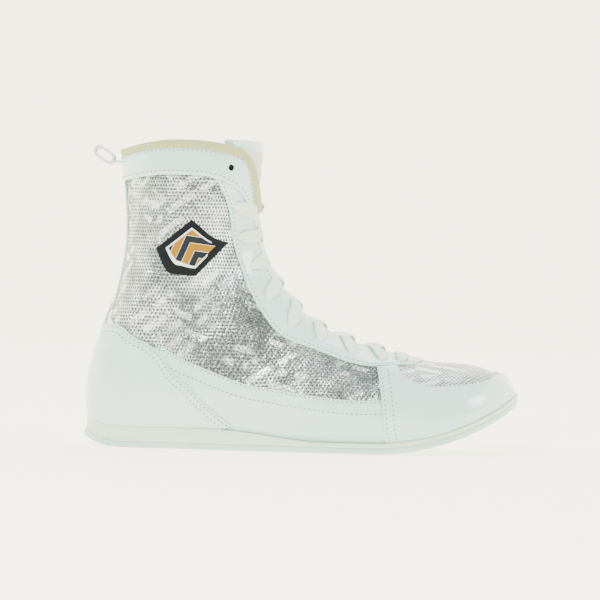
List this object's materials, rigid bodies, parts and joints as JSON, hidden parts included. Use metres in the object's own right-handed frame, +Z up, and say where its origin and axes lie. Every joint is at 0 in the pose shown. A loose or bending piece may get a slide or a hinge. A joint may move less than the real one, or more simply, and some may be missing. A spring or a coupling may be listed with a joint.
{
  "type": "boxing boot",
  "caption": "Right high-top lace-up boxing boot with mesh shaft, glossy leather overlays, rounded collar, curved thin sole and heel pull loop.",
  "frame": {"origin": "on the ground under the centre of the boot's bounding box", "axes": "+X towards the toe, +Y towards the medial side, +Z up; the lateral side faces -Y"},
  "size_m": [0.2896, 0.0994, 0.2052],
  "materials": {
    "patent_leather": "glossy white patent leather",
    "silver_mesh": "metallic foil mesh with round perforations",
    "foam": "open-cell foam sheet",
    "lining": "knitted lining",
    "knit_binding": "cream ribbed knit",
    "midsole": "matte cream moulded midsole",
    "outsole": "pale mint rubber",
    "board": "stitched fibre board",
    "insole": "cloth-topped foam footbed",
    "webbing": "white woven webbing",
    "lace": "flat white woven lace",
    "aglet": "clear film tip",
    "badge_black": "moulded black badge base",
    "badge_white": "white raised line",
    "badge_gold": "gold raised inlay"
  },
  "bodies": {
    "boot": {"aglet_long": "aglet", "aglet_short": "aglet", "backstay": "patent_leather", "badge_base": "badge_black", "badge_border": "badge_white", "badge_inlay": "badge_gold", "collar_band_lateral": "patent_leather", "collar_band_medial": "patent_leather", "collar_binding_lateral": "knit_binding", "collar_binding_medial": "knit_binding", "collar_foam_lateral": "foam", "collar_foam_medial": "foam", "collar_lining_lateral": "lining", "collar_lining_medial": "lining", "counter_stiffener": "board", "eyestay_lateral": "patent_leather", "eyestay_medial": "patent_leather", "heel_counter": "patent_leather", "insole_board": "board", "lace": "lace", "midsole": "midsole", "outsole": "outsole", "pull_loop_tab": "webbing", "quarter_backing_lateral": "foam", "quarter_backing_medial": "foam", "quarter_lining_lateral": "lining", "quarter_lining_medial": "lining", "quarter_mesh_lateral": "silver_mesh", "quarter_mesh_medial": "silver_mesh", "side_rand_lateral": "patent_leather", "side_rand_medial": "patent_leather", "toe_guard_lateral": "patent_leather", "toe_guard_medial": "patent_leather", "toe_puff": "board", "tongue_cover": "patent_leather", "tongue_foam": "foam", "tongue_lining": "lining", "vamp_lining": "lining", "vamp_mesh": "silver_mesh"},
    "tongue_top": {"tongue_top_cover": "patent_leather", "tongue_top_foam": "foam", "tongue_top_lining": "lining"},
    "pull_loop": {"pull_loop": "webbing"},
    "insole": {"insole": "insole"}
  },
  "joints": [
    {"name": "tongue_fold", "type": "hinge", "parent": "boot", "child": "tongue_top", "pos_m": [-0.0342, 0, 0.1723], "axis": [0, 1, 0], "range_deg": [-12, 0]},
    {"name": "loop_fold", "type": "hinge", "parent": "boot", "child": "pull_loop", "pos_m": [-0.12942, 0, 0.18884], "axis": [0, 1, 0], "range_deg": [-100, 40]},
    {"name": "insole_lift", "type": "hinge", "parent": "boot", "child": "insole", "pos_m": [0.1345, 0, 0.0355], "axis": [0, 1, 0], "range_deg": [0, 5]}
  ]
}
